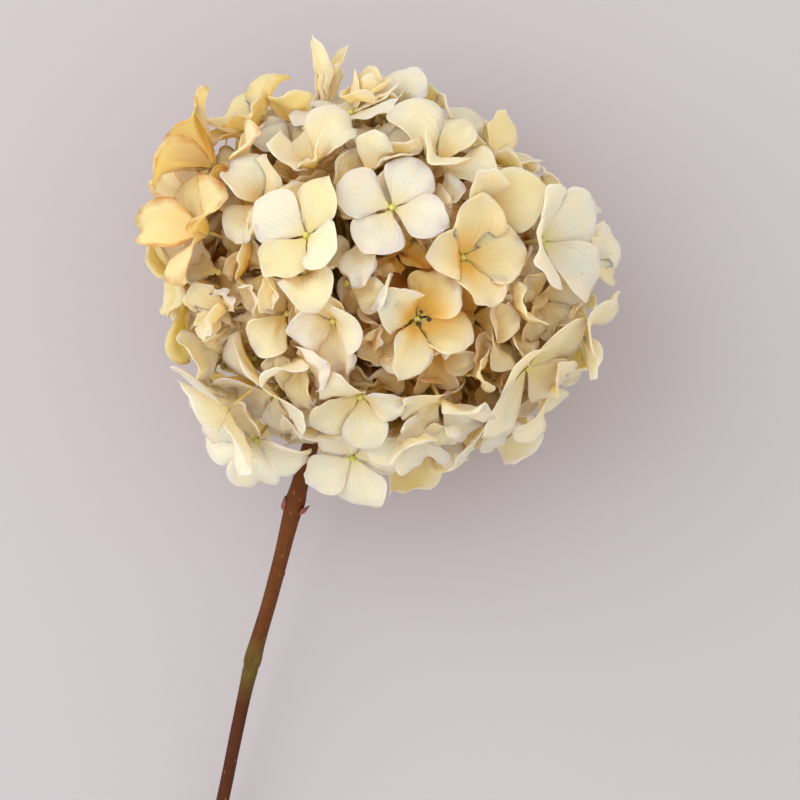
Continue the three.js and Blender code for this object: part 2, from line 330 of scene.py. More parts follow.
sepals = {key: drawn(key) for key in sepalShape}
for i, f in enumerate(allFlorets):
    for key, (least, most) in floretStyles.get(f.get("style", f["node"]), {}).items():
        sepals[key][4 * i : 4 * i + 4] = random.uniform(least, most, 4)
sepals["floret"] = np.repeat(np.arange(len(allFlorets)), 4)
sepals["quarter"] = np.tile(np.arange(4), len(allFlorets))
sepals["length"] *= np.repeat([f["reach"] for f in allFlorets], 4)
sepals["phase"] = random.uniform(0, 2 * math.pi, (sepalCount, 6))
sepals["swing"] = random.uniform(-9, 9, sepalCount)

eyes = np.array([f["eye"] for f in allFlorets])
normals = np.array([f["normal"] for f in allFlorets])
sides = np.array([floretBasis(f["normal"], f["turn"]) for f in allFlorets])


def ovalGrid():
    # a sepal's outline as an egg with a narrow claw: shares of its length and of its half width
    u, v = np.meshgrid(np.linspace(-1, 1, rows), np.linspace(-1, 1, columns), indexing="ij")
    x = (u * np.sqrt(1 - v * v / 2) + 1) / 2
    claw = 0.10 + 0.90 * smooth(x, -0.12, 0.62)
    return x, v * np.sqrt(1 - u * u / 2) * claw / 0.93


ovalAlong, ovalAcross = ovalGrid()


def sepalGrid(grown, opened):
    # every sepal's own shape when it has grown and opened by these shares, in millimetres
    fine = np.linspace(0, 1, 41)
    rise = np.radians(shutRise + (sepals["rise"] - shutRise) * opened)[:, None]
    curl = np.radians(sepals["curl"] * opened)[:, None]
    roll = np.radians(sepals["tipRoll"] * opened)[:, None]
    slope = rise - curl * fine - roll * fine**4
    step = (sepals["length"] * grown)[:, None] / 40
    ax = np.cumsum(np.cos(slope) * step, 1) - np.cos(slope[:, :1]) * step
    az = np.cumsum(np.sin(slope) * step, 1) - np.sin(slope[:, :1]) * step
    spot = np.clip(ovalAlong * 40, 0, 39.999)
    low = spot.astype(int)
    part = spot - low
    x, z, slope = (a[:, low] * (1 - part) + a[:, low + 1] * part for a in (ax, az, slope))
    wide = (sepals["width"] * sepals["length"] * grown / 2)[:, None, None] * ovalAcross
    cup = sepals["cup"][:, None, None] * (0.4 + 0.6 * ovalAlong)
    y = wide * (1 - 0.15 * cup**2 * ovalAcross**2)
    off = np.abs(wide) * 0.5 * cup * np.abs(ovalAcross)
    fold = np.radians(sepals["fold"])[:, None, None]
    y, off = y * np.cos(fold), off + np.abs(y) * np.sin(fold)
    twist = np.radians(sepals["twist"])[:, None, None] * ovalAlong
    y, off = y * np.cos(twist) - off * np.sin(twist), y * np.sin(twist) + off * np.cos(twist)
    x, z = x - off * np.sin(slope), z + off * np.cos(slope)
    f = sepals["floret"]
    angle = sepals["quarter"] * math.pi / 2 + np.radians(sepals["swing"])
    other = np.cross(normals, sides)
    out = np.cos(angle)[:, None] * sides[f] + np.sin(angle)[:, None] * other[f]
    across = np.cross(normals[f], out)
    lift = np.where(sepals["quarter"] % 2, 0.0, sepalSeat["upperPair"])
    base = eyes[f] + out * sepalSeat["out"] + normals[f] * (lift - sepalSeat["below"])[:, None]
    base, out, across, up = (v[:, None, None, :] for v in (base, out, across, normals[f]))
    return base + x[..., None] * out + y[..., None] * across + z[..., None] * up


# the head opens: the sepals grow from tight buds and push each other aside

opening = {
    "steps": 44,
    "settle": 14,  # more steps with no growth
    "rounds": 3,
    "budSize": 0.18,  # share of full size that the sepals start from
    "growth": 0.82,  # and the share that they grow by
    "hold": 0.16,  # pull towards a sepal's own shape at each step
    "outerHold": 1.6,  # times that for the outer florets
    "outerYields": 0.45,  # how readily an outer sepal gives way, against 1 for an inner one
    "styledYields": 0.4,
    "outerLead": 1.5,  # the outer florets open this many times as fast as they grow
    "innerWait": 0.25,  # and the inner ones wait for this share of the steps
    "stretch": 0.25,  # share of a stretched length that is put right in each round
    "apart": 2.6,  # between two florets' sepals
    "lookAround": 1.15,  # times that, because the sepals move on before they are looked at again
    "apartInFloret": 2.0,
    "apartFromStalk": 1.9,
    "apartFromStem": 5.2,
    "stalkFrom": 46,  # from the head's middle, just outside the pedicels' feet
    "stalkStep": 2.5,
    "aboveTable": 0.5,
    "beyondBox": {"aside": 6, "ahead": 12, "above": 5},  # how far they may stand out of the CAD model
    "drawBackRounds": 3,
    "drawBack": 0.95,
}

low = np.array(cadBox[0]) / mm
high = np.array(cadBox[1]) / mm


def stalkPoints():  # points along every pedicel, which the sepals keep off
    points = []
    for f in allFlorets:
        way = f["eye"] - headCentre
        far = np.linalg.norm(way)
        for r in np.arange(opening["stalkFrom"], far - 3, opening["stalkStep"]):
            points.append(headCentre + way / far * r)
    return np.array(points)


def keepInside(p):
    beyond = opening["beyondBox"]
    p[..., 2] = np.maximum(p[..., 2], opening["aboveTable"])
    p[..., 2] = np.minimum(p[..., 2], high[2] + beyond["above"])
    p[..., 0] = np.clip(p[..., 0], low[0] - beyond["aside"], high[0] + beyond["aside"])
    p[..., 1] = np.clip(p[..., 1], low[1], high[1] + beyond["ahead"])


def keepOffStem(flat, line, room):
    near = flat[:, 1] < stemTop[1] + 5
    part = flat[near]
    gap = part[:, None] - line[None]
    d = np.linalg.norm(gap, axis=2)
    k = d.argmin(1)
    push = np.maximum(room - d[np.arange(len(k)), k], 0)
    flat[near] = part + unit(gap[np.arange(len(k)), k]) * push[:, None]


isOuter = np.array([bool(f["node"] or "style" in f) for f in allFlorets])[sepals["floret"]]
isStyled = np.array([f.get("style", f["node"]) in floretStyles for f in allFlorets])[sepals["floret"]]
neighbours = [
    (np.s_[:, 1:], np.s_[:, :-1]),
    (np.s_[:, :, 1:], np.s_[:, :, :-1]),
    (np.s_[:, 1:, 1:], np.s_[:, :-1, :-1]),
    (np.s_[:, 1:, :-1], np.s_[:, :-1, 1:]),
    (np.s_[:, 2:], np.s_[:, :-2]),
    (np.s_[:, :, 2:], np.s_[:, :, :-2]),
]


def nearPairs(everything, reach, count, sepalOf):
    # pairs of points of different sepals, or of a sepal and a stalk, that are within reach
    tree = kdtree.KDTree(len(everything))
    for i, v in enumerate(everything):
        tree.insert(v, i)
    tree.balance()
    first, second = [], []
    for i in range(count):
        for _, j, _ in tree.find_range(everything[i], reach):
            if j > i and (j >= count or sepalOf[j] != sepalOf[i]):
                first.append(i)
                second.append(j)
    return np.array(first), np.array(second)


def openHead():
    stalks = stalkPoints()
    line = stemLine()
    yields = np.where(isOuter, opening["outerYields"], 1.0) * np.where(isStyled, opening["styledYields"], 1.0)
    hold = np.where(isOuter, opening["hold"] * opening["outerHold"], opening["hold"])[:, None, None, None]
    weight = np.repeat(yields, rows * columns)
    weight = np.concatenate([weight, np.zeros(len(stalks))])
    sepalOf = np.repeat(np.arange(sepalCount), rows * columns)
    floretOf = sepals["floret"][sepalOf]
    rowOf = np.tile(np.repeat(np.arange(rows), columns), sepalCount)
    count = len(sepalOf)
    steps = opening["steps"]
    p = None
    for step in range(steps + opening["settle"]):
        part = (step + 1) / steps
        grown = opening["budSize"] + opening["growth"] * min(1, part)
        early = np.clip(part * opening["outerLead"], 0, 1)
        late = np.clip((part - opening["innerWait"]) / (1 - opening["innerWait"]), 0, 1)
        target = sepalGrid(grown, np.where(isOuter, early, late))
        p = target.copy() if p is None else p + (target - last)  # the growth itself
        last = target
        p += hold * (target - p)
        rests = [np.linalg.norm(target[a] - target[b], axis=-1) for a, b in neighbours]
        apart = opening["apart"] * (0.4 + 0.6 * grown)
        everything = np.vstack([p.reshape(-1, 3), stalks])
        first, second = nearPairs(everything, apart * opening["lookAround"], count, sepalOf)
        stalk = second >= count
        other = np.minimum(second, count - 1)
        same = ~stalk & (floretOf[first] == floretOf[other])
        keep = ~(same & ((rowOf[first] < 2) | (rowOf[other] < 2)))  # claws of one floret may touch
        keep &= ~(stalk & (rowOf[first] < 1))
        first, second, same, stalk = first[keep], second[keep], same[keep], stalk[keep]
        limit = np.where(stalk, opening["apartFromStalk"], apart)
        limit = np.where(same, opening["apartInFloret"] * grown, limit)
        share = weight[first] + weight[second]
        for _ in range(opening["rounds"]):
            for (a, b), rest in zip(neighbours, rests):
                gap = p[a] - p[b]
                size = np.linalg.norm(gap, axis=-1)
                fix = (opening["stretch"] * (size - rest) / np.maximum(size, 1e-6))[..., None] * gap
                p[a] -= fix
                p[b] += fix
            everything[:count] = p.reshape(-1, 3)
            gap = everything[first] - everything[second]
            size = np.linalg.norm(gap, axis=1)
            push = np.maximum(limit - size, 0)[:, None] * gap / np.maximum(size, 1e-6)[:, None]
            moved = np.zeros_like(everything)
            hits = np.zeros(len(everything))
            np.add.at(moved, first, push * (weight[first] / share)[:, None])
            np.add.at(moved, second, -push * (weight[second] / share)[:, None])
            np.add.at(hits, first, size < limit)
            np.add.at(hits, second, size < limit)
            everything += moved / np.maximum(hits, 1)[:, None] ** 0.5
            flat = everything[:count]
            keepOffStem(flat, line, opening["apartFromStem"])
            p = flat.reshape(p.shape).copy()
            keepInside(p)
            p[:, 0] = target[:, 0]  # the claw stays on its floret
            p[:, 1] += 0.5 * (target[:, 1] - p[:, 1])
    print("opened the head:", len(first), "places where sepals press on each other")
    return p


def crossings(p):
    # pairs of sepals that pass through each other away from their claws, and in which rows
    i, j = np.meshgrid(np.arange(rows - 1), np.arange(columns - 1), indexing="ij")
    a = (i * columns + j).ravel()
    quads = np.stack([a, a + 1, a + columns + 1, a + columns], 1)
    faces = quads[None] + np.arange(sepalCount)[:, None, None] * rows * columns
    tree = BVHTree.FromPolygons(p.reshape(-1, 3).tolist(), faces.reshape(-1, 4).tolist())
    pairs = np.array(tree.overlap(tree))
    sepal = pairs // len(quads)
    row = pairs % len(quads) // (columns - 1)
    apart = (sepals["floret"][sepal[:, 0]] != sepals["floret"][sepal[:, 1]]) | (row.min(1) > 1)
    apart &= sepal[:, 0] != sepal[:, 1]
    return sepal[apart], row[apart]


def clearCrossings(p):
    # where an inner sepal crosses an outer one it is drawn back a little, and drops if it still does;
    # of two alike the one that crosses nearer its tip is drawn back
    claw = p[:, :1, columns // 2 : columns // 2 + 1].copy()
    for _ in range(opening["drawBackRounds"]):
        sepal, row = crossings(p)
        first, second = sepal.T
        yields = np.where(isOuter[first] == isOuter[second], row[:, 0] > row[:, 1], isOuter[second])
        back = np.unique(first[yields])
        p[back] = claw[back] + (p[back] - claw[back]) * opening["drawBack"]
    sepal, row = crossings(p)
    dropped = ~isOuter[sepal[:, 0]] & isOuter[sepal[:, 1]]
    dropped = np.unique(sepal[dropped, 0])
    print("drew back the crossing sepals:", len(dropped), "dropped,", len(np.unique(sepal)), "still cross")
    return p, set(dropped.tolist())


coarse, droppedSepals = clearCrossings(openHead())


# fine sepals from the coarse ones

fineSepal = {
    "rows": 17,
    "columns": 13,
    "thickness": 0.36,  # at the claw
    "marginThinner": 0.55,
    "ruffle": 0.85,
    "ridge": 0.08,  # the veins' own relief
    "ridgesAcross": 5.5,
    "crumple": 0.38,
    "frill": 0.35,
    "aboveTable": 0.15,
}


def splineMatrix(n, m):  # natural cubic spline through n even knots, read at m even places
    a = np.eye(n)
    b = np.zeros((n, n))
    for i in range(1, n - 1):
        a[i, i - 1 : i + 2] = [1, 4, 1]
        b[i, i - 1 : i + 2] = [6, -12, 6]
    bend = np.linalg.solve(a, b)
    read = np.zeros((m, n))
    for k, x in enumerate(np.linspace(0, n - 1, m)):
        i = min(int(x), n - 2)
        u = x - i
        e = np.eye(n)
        read[k] = (1 - u) * e[i] + u * e[i + 1]
        read[k] += ((1 - u) ** 3 - (1 - u)) / 6 * bend[i] + (u**3 - u) / 6 * bend[i + 1]
    return read


def fineGrids(p):  # the two faces of every sepal, ruffled at the margin and crumpled as it dried
    down = splineMatrix(rows, fineSepal["rows"])
    over = splineMatrix(columns, fineSepal["columns"])
    q = np.einsum("ai,sijx,bj->sabx", down, p, over)
    t, s = ovalFine
    margin = smooth(marginFine, 0.45, 1.0)
    along = np.gradient(q, axis=1)
    across = np.gradient(q, axis=2)
    n = unit(np.cross(across, along))
    middle = n[:, fineSepal["rows"] // 2, fineSepal["columns"] // 2]
    n = -n if (middle * normals[sepals["floret"]]).sum() < 0 else n
    ph = sepals["phase"][:, :, None, None]
    broad = np.sin(5.5 * t + 3 * s * (0.6 + t) + ph[:, 0]) * np.sin(4.1 * s + ph[:, 1])
    narrow = np.sin(9 * s * t + 2.2 * t + ph[:, 2]) * 0.6
    wave = (broad + narrow) * margin * sepals["ruffle"][:, None, None] * fineSepal["ruffle"]
    ridge = np.cos(s * math.pi * fineSepal["ridgesAcross"] + 0.6 * np.sin(4 * t + ph[:, 3]))
    ridge = ridge * smooth(t, 0.02, 0.25) * (1 - 0.8 * smooth(t, 0.5, 1)) * fineSepal["ridge"]
    crumple = np.sin(6 * t + 2 * s + ph[:, 4]) * np.sin(5 * s - 3 * t + ph[:, 5]) * fineSepal["crumple"]
    crumple = crumple * smooth(t, 0.1, 0.6)
    q = q + (wave + ridge + crumple)[..., None] * n
    point = sepals["point"][:, None, None] * sepals["length"][:, None, None]
    frill = fineSepal["frill"] * np.sin(7 * s + ph[:, 2]) * np.sin(3 * s + ph[:, 0]) * t**6
    q = q + ((point * (1 - np.abs(s)) ** 2 * t**5 + frill)[..., None]) * unit(along)
    thick = fineSepal["thickness"] * (1 - fineSepal["marginThinner"] * margin)[..., None]
    top, under = q + n * thick / 2, q - n * thick / 2
    lowest = np.minimum(top[..., 2], under[..., 2])
    rise = np.maximum(fineSepal["aboveTable"] - lowest, 0)
    top[..., 2] += rise
    under[..., 2] += rise
    return top, under


u, v = np.meshgrid(
    np.linspace(-1, 1, fineSepal["rows"]), np.linspace(-1, 1, fineSepal["columns"]), indexing="ij"
)
ovalFine = (u * np.sqrt(1 - v * v / 2) + 1) / 2, v * np.sqrt(1 - u * u / 2)
marginFine = np.maximum(np.abs(v), np.maximum(u, 0))


def gridFaces():  # the upper face, the under face and the rim that joins them
    r, c = fineSepal["rows"], fineSepal["columns"]
    i, j = np.meshgrid(np.arange(r - 1), np.arange(c - 1), indexing="ij")
    a = (i * c + j).ravel()
    quads = np.stack([a, a + 1, a + c + 1, a + c], 1)
    n = r * c
    edge = list(range(c)) + [i * c + c - 1 for i in range(1, r)]
    edge += [(r - 1) * c + j for j in range(c - 2, -1, -1)] + [i * c for i in range(r - 2, 0, -1)]
    edge = np.array(edge)
    after = np.roll(edge, -1)
    rim = np.stack([after, edge, edge + n, after + n], 1)
    return np.vstack([quads, quads[:, ::-1] + n, rim])


sepalFaces = gridFaces()


def meshPiece(name, points, faces, attributes=None, slots=None, materials=()):
    # points in millimetres; faces is a list or an array of vertex numbers
    mesh = bpy.data.meshes.new(name)
    mesh.from_pydata((np.asarray(points) * mm).tolist(), [], [list(map(int, f)) for f in faces])
    for key, values in (attributes or {}).items():
        layer = mesh.attributes.new(key, "FLOAT", "POINT")
        layer.data.foreach_set("value", np.asarray(values, np.float32))
    for material in materials:
        mesh.materials.append(material)
    if slots is not None:
        mesh.polygons.foreach_set("material_index", np.asarray(slots, np.int32))
    mesh.polygons.foreach_set("use_smooth", np.ones(len(mesh.polygons), bool))
    mesh.update()
    piece = bpy.data.objects.new(name, mesh)
    bpy.context.scene.collection.objects.link(piece)
    return piece


def linear(hexText):
    rgb = [int(hexText[i : i + 2], 16) / 255 for i in (1, 3, 5)]
    return [c / 12.92 if c <= 0.04045 else ((c + 0.055) / 1.055) ** 2.4 for c in rgb] + [1.0]


def newMaterial(name):
    material = bpy.data.materials.new(name)
    material.use_nodes = True
    tree = material.node_tree
    shader = tree.nodes["Principled BSDF"]
    return material, tree, shader


def setSockets(tree, node, links):
    # sockets are named, or numbered after an underscore; each takes a value, a socket or a node's output
    for key, value in links.items():
        socket = node.inputs[int(key[1:])] if key[0] == "_" else node.inputs[key.replace("_", " ")]
        if isinstance(value, bpy.types.Node):
            value = value.outputs[2 if value.bl_idname == "ShaderNodeMix" else 0]
        if isinstance(value, bpy.types.NodeSocket):
            tree.links.new(value, socket)
        else:
            socket.default_value = value


def add(tree, kind, settings=None, **links):
    node = tree.nodes.new(kind)
    for key, value in (settings or {}).items():
        setattr(node, key, value)
    setSockets(tree, node, links)
    return node


pointData = ("along", "across", "gold", "tone", "scorch")  # what every point of a piece carries

sepalLook = {
    "ivory": "#FAEACC",
    "cream": "#F8D9A2",
    # gold and amber are the colours of the painted golden shade in the depths; gold is also the florets' own
    # where they dried further
    "gold": "#F5AC4B",
    "paintedShadeAmber": "#D98E3A",
    "vein": "#D9B074",
    "claw": "#DCDC84",
    "scorch": "#AC6028",
    "cloud": 140.0,  # noise of one cycle in about 7 mm: the soft patches of drying
    "wrinkle": 330.0,  # dried wrinkles about 3 mm apart
    "grain": 1500.0,  # the cells' grain, drawn 0.7 mm wide because the real 0.05 mm wouldn't show
    "veins": 34.0,  # 11 main veins over a sepal 18 mm wide, 1.7 mm apart at its widest
    "veinStrength": 0.16,
    "roughness": 0.6,
    "ior": 1.42,
    "scatter": 2.6,
    "relief": 0.22,
}


def driedSepal():
    # Hydrangea sepals, air-dried on the stem: thin as paper, so light soaks through. The gold of the folds
    # and of the depths of the head is painted golden shade in the base colour.
    # Dry cell walls scatter the light, which leaves a matt face with fine veins and no shine.
    material, tree, shader = newMaterial("air-dried hydrangea sepal")
    look = sepalLook
    along, across, gold, tone, scorch = (
        add(tree, "ShaderNodeAttribute", {"attribute_name": key}).outputs["Fac"] for key in pointData
    )
    place = add(tree, "ShaderNodeTexCoord").outputs["Object"]
    cloud = add(tree, "ShaderNodeTexNoise", None, Vector=place, Scale=look["cloud"], Detail=3.0)
    grain = add(tree, "ShaderNodeTexNoise", None, Vector=place, Scale=look["grain"], Detail=2.0)
    wrinkle = add(tree, "ShaderNodeTexNoise", None, Vector=place, Scale=look["wrinkle"], Detail=3.0)

    # the veins fan out from the claw and fork towards the margin
    fan = add(tree, "ShaderNodeMath", {"operation": "MULTIPLY_ADD"}, _0=cloud, _1=0.35, _2=across)
    main = add(tree, "ShaderNodeMath", {"operation": "MULTIPLY"}, _0=fan, _1=look["veins"])
    main = add(tree, "ShaderNodeMath", {"operation": "SINE"}, _0=main)
    main = add(tree, "ShaderNodeMapRange", None, Value=main, From_Min=0.5, From_Max=1.0)
    fork = add(tree, "ShaderNodeMath", {"operation": "MULTIPLY"}, _0=fan, _1=2 * look["veins"])
    fork = add(tree, "ShaderNodeMath", {"operation": "SINE"}, _0=fork)
    fork = add(tree, "ShaderNodeMapRange", None, Value=fork, From_Min=0.6, From_Max=1.0)
    outward = add(tree, "ShaderNodeMapRange", None, Value=along, From_Min=0.4, From_Max=0.7)
    fork = add(tree, "ShaderNodeMath", {"operation": "MULTIPLY"}, _0=fork, _1=outward)
    fading = add(tree, "ShaderNodeMapRange", None, Value=along, From_Min=1.0, From_Max=0.4)
    veins = add(tree, "ShaderNodeMath", {"operation": "MAXIMUM"}, _0=main, _1=fork)
    veins = add(tree, "ShaderNodeMath", {"operation": "MULTIPLY"}, _0=veins, _1=fading)

    # ivory to cream, then painted golden and amber shade deeper in the head and at the claws, over the gold
    # of the florets that dried further, green at the claw, brown at the margin
    colour = {key: linear(look[key]) for key in ("ivory", "cream", "gold", "paintedShadeAmber", "vein", "claw", "scorch")}
    creamy = add(tree, "ShaderNodeMath", {"operation": "MULTIPLY_ADD"}, _0=cloud, _1=0.25, _2=tone)
    paint = add(
        tree, "ShaderNodeMix", {"data_type": "RGBA"}, _0=creamy, _6=colour["ivory"], _7=colour["cream"]
    )
    # painted shade: gold, then amber, deep in the head, at the claws and in the hollow, over the gold of the
    # florets that dried further
    shadeGoldAndDriedGold = add(tree, "ShaderNodeMapRange", None, Value=gold, From_Min=0.05, From_Max=0.75)
    paint = add(tree, "ShaderNodeMix", {"data_type": "RGBA"}, _0=shadeGoldAndDriedGold, _6=paint, _7=colour["gold"])
    paintedAmberShare = add(tree, "ShaderNodeMapRange", None, Value=gold, From_Min=0.75, From_Max=1.4)
    paint = add(tree, "ShaderNodeMix", {"data_type": "RGBA"}, _0=paintedAmberShare, _6=paint, _7=colour["paintedShadeAmber"])
    veined = add(tree, "ShaderNodeMath", {"operation": "MULTIPLY"}, _0=veins, _1=look["veinStrength"])
    paint = add(tree, "ShaderNodeMix", {"data_type": "RGBA"}, _0=veined, _6=paint, _7=colour["vein"])
    green = add(tree, "ShaderNodeMapRange", None, Value=along, From_Min=0.2, From_Max=0.02)
    green = add(tree, "ShaderNodeMath", {"operation": "MULTIPLY"}, _0=green, _1=0.6)
    paint = add(tree, "ShaderNodeMix", {"data_type": "RGBA"}, _0=green, _6=paint, _7=colour["claw"])
    burnt = add(tree, "ShaderNodeMath", {"operation": "MULTIPLY_ADD"}, _0=cloud, _1=1.6, _2=-0.15)
    burnt = add(tree, "ShaderNodeMath", {"operation": "MULTIPLY"}, _0=scorch, _1=burnt)
    burnt = add(tree, "ShaderNodeMapRange", None, Value=burnt, From_Min=0.25, From_Max=0.8)
    paint = add(tree, "ShaderNodeMix", {"data_type": "RGBA"}, _0=burnt, _6=paint, _7=colour["scorch"])

    height = add(tree, "ShaderNodeMath", {"operation": "MULTIPLY"}, _0=veins, _1=0.55)
    height = add(tree, "ShaderNodeMath", {"operation": "MULTIPLY_ADD"}, _0=wrinkle, _1=2.6, _2=height)
    height = add(tree, "ShaderNodeMath", {"operation": "MULTIPLY_ADD"}, _0=grain, _1=0.12, _2=height)
    bump = add(tree, "ShaderNodeBump", None, Height=height, Strength=0.5, Distance=look["relief"] * mm)
    sockets = {"Base Color": paint, "Roughness": look["roughness"], "IOR": look["ior"], "Normal": bump}
    sockets["Subsurface Weight"] = 0.85
    sockets["Subsurface Radius"] = (1.0, 0.7, 0.34)
    sockets["Subsurface Scale"] = look["scatter"] * mm
    setSockets(tree, shader, sockets)
    return material


def greenStalk(name, young, old, scale):
    # Soft green tissue that has dried from lime to straw: a thin waxy skin over a grainy, faintly
    # see-through flesh. The clouds are 1000 / scale mm wide and the flecks a ninth of that.
    material, tree, shader = newMaterial(name)
    place = add(tree, "ShaderNodeTexCoord").outputs["Object"]
    cloud = add(tree, "ShaderNodeTexNoise", None, Vector=place, Scale=scale, Detail=3.0)
    fleck = add(tree, "ShaderNodeTexNoise", None, Vector=place, Scale=scale * 9, Detail=2.0)
    part = add(tree, "ShaderNodeMapRange", None, Value=cloud, From_Min=0.35, From_Max=0.65)
    paint = add(tree, "ShaderNodeMix", {"data_type": "RGBA"}, _0=part, _6=linear(young), _7=linear(old))
    bump = add(tree, "ShaderNodeBump", None, Height=fleck, Strength=0.4, Distance=0.1 * mm)
    sockets = {"Base Color": paint, "Roughness": 0.5, "Normal": bump, "Subsurface Weight": 0.2}
    sockets["Subsurface Radius"] = (1.0, 0.9, 0.3)
    sockets["Subsurface Scale"] = 0.6 * mm
    setSockets(tree, shader, sockets)
    return material


sepalMaterial = driedSepal()
beadMaterial = greenStalk("unopened fertile flower", "#B6BE45", "#DDD383", 700.0)
stalkMaterial = greenStalk("pale green flower stalk", "#DDD48C", "#CDAF5E", 160.0)

top, under = fineGrids(coarse)
tGrid, sGrid = (a.ravel() for a in ovalFine)

bead = {"radius": 1.25, "height": 1.7, "lobes": 4, "groove": 0.16, "rings": 8, "sides": 16}


def beadMesh(eye, normal, side):
    other = np.cross(normal, side)
    points = []
    for i in range(bead["rings"] + 1):
        a = -0.5 + 1.5 * i / bead["rings"]
        wide = bead["radius"] * math.cos(a * math.pi / 2 * 0.995)
        tall = bead["height"] * (0.35 + 0.65 * math.sin(a * math.pi / 2))
        for j in range(bead["sides"]):
            b = 2 * math.pi * j / bead["sides"]
            r = wide * (1 - bead["groove"] * abs(math.sin(bead["lobes"] * b / 2)) ** 3)
            points.append(eye + normal * (tall - 0.2) + r * (math.cos(b) * side + math.sin(b) * other))
    return np.array(points), ringFaces(bead["rings"] + 1, bead["sides"])


def ringFaces(rings, sides):
    faces = []
    for i in range(rings - 1):
        for j in range(sides):
            k = (j + 1) % sides
            faces.append([i * sides + j, i * sides + k, (i + 1) * sides + k, (i + 1) * sides + j])
    faces.append(list(range(sides))[::-1])
    faces.append([(rings - 1) * sides + j for j in range(sides)])
    return faces


def tube(line, radii, sides=8):  # a round limb along a line of points, closed at both ends
    line = np.asarray(line, float)
    radii = np.broadcast_to(radii, len(line))
    way = unit(np.gradient(line, axis=0))
    side = np.cross(way[0], [0.3, 0.5, 0.8])
    points = []
    for i in range(len(line)):
        side = unit(side - (side @ way[i]) * way[i])
        other = np.cross(way[i], side)
        turn = np.linspace(0, 2 * math.pi, sides, endpoint=False)[:, None]
        points.append(line[i] + radii[i] * (np.cos(turn) * side + np.sin(turn) * other))
    return np.vstack(points), ringFaces(len(line), sides)


def bezier(a, b, c, d, steps):
    t = np.linspace(0, 1, steps)[:, None]
    return a * (1 - t) ** 3 + 3 * b * t * (1 - t) ** 2 + 3 * c * t**2 * (1 - t) + d * t**3


class Parts:  # gathers the meshes that make up one piece
    def __init__(self):
        self.points, self.faces, self.slots, self.count = [], [], [], 0
        self.data = {key: [] for key in pointData}

    def take(self, points, faces, slot, **data):
        self.points.append(points)
        self.faces += [[v + self.count for v in f] for f in faces]
        self.slots += [slot] * len(faces)
        self.count += len(points)
        for key, rows in self.data.items():
            rows.append(np.broadcast_to(data.get(key, 0.0), len(points)))

    def build(self, name, materials):
        data = {key: np.concatenate(rows) for key, rows in self.data.items()}
        piece = meshPiece(name, np.vstack(self.points), self.faces, data, self.slots, materials)
        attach(piece, "root")
        return piece


stalk = {"foot": 45.0, "radius": 0.85, "neck": 0.62, "steps": 9, "innerRadius": 0.9, "innerSteps": 10}
headHalf = np.abs(np.array([f["eye"] for f in florets]) - headCentre).max(0) + 6


def paintedGoldenShadeAt(points, t):  # painted golden shade: more deep in the head, at the claws and in the hollow
    depth = np.clip((1.04 - np.linalg.norm((points - headCentre) / headHalf, axis=1)) / 0.3, 0, 1.4)
    aside = np.linalg.norm((points - headCentre)[:, :2] - hollow["at"], axis=1)
    paintedShadeInHollow = (1 - smooth(aside, 0.6 * hollow["radius"], 1.5 * hollow["radius"])) * smooth(depth, 0.1, 0.6)
    paintedShadeInHollow = paintedShadeInHollow * (points[:, 2] > headCentre[2])
    return np.clip(0.72 * depth**1.3 + 0.34 * (1 - t) ** 2 + 0.4 * paintedShadeInHollow - 0.07, 0, 1.3)


def buildFloret(name, members, forks=None):
    parts = Parts()
    t, s = np.tile(tGrid, 2), np.tile(sGrid, 2)
    edge = np.tile(smooth(marginFine.ravel(), 0.5, 1), 2)
    for f in members:
        for k in range(4 * f, 4 * f + 4):
            if k in droppedSepals:
                continue
            sheet = np.vstack([top[k].reshape(-1, 3), under[k].reshape(-1, 3)])
            # the brown margins and the gold of the florets that dried further are the sepals' own; the rest
            # of the gold is painted golden shade
            dryingAndPaintedShade = {"scorch": edge * scorchOf[f], "gold": paintedGoldenShadeAt(sheet, t) + goldOf[f]}
            parts.take(sheet, sepalFaces, 0, along=t, across=s, tone=sepals["tone"][k], **dryingAndPaintedShade)
        parts.take(*beadMesh(eyes[f], normals[f], sides[f]), 1)
        way = unit(eyes[f] - headCentre)
        foot = headCentre + way * stalk["foot"]
        neck = eyes[f] - normals[f] * 0.5
        reach = np.linalg.norm(neck - foot) / 3
        line = bezier(foot, foot + way * reach, neck - normals[f] * reach, neck, stalk["steps"])
        radii = np.linspace(stalk["radius"], stalk["neck"], stalk["steps"])
        parts.take(*tube(line, radii), 2)
        if forks is not None:
            fork = forks[np.linalg.norm(forks - foot, axis=1).argmin()]
            line = bezier(fork, fork + (fork - hub) * 0.4, foot - way * 12, foot, stalk["innerSteps"])
            parts.take(*tube(line, stalk["innerRadius"]), 2)
    return parts.build(name, [sepalMaterial, beadMaterial, stalkMaterial])


# rays and twigs, from the stem's knob to the foot of every pedicel

rays = {"fork": 17.0, "radius": 1.75, "knuckle": 0.35, "twig": 1.05, "steps": 14, "reach": 1.3}

hub = stemTop
forks, rayWays = [], []
for node in rayNodes:
    points = nodePoints(node)
    gap = np.linalg.norm(points - hub, axis=1)
    base = np.unique(points[gap < gap.min() + 0.35].round(3), axis=0).mean(0)
    rayWays.append(unit(base - hub))
    forks.append(hub + rayWays[-1] * rays["fork"])
forks = np.array(forks)


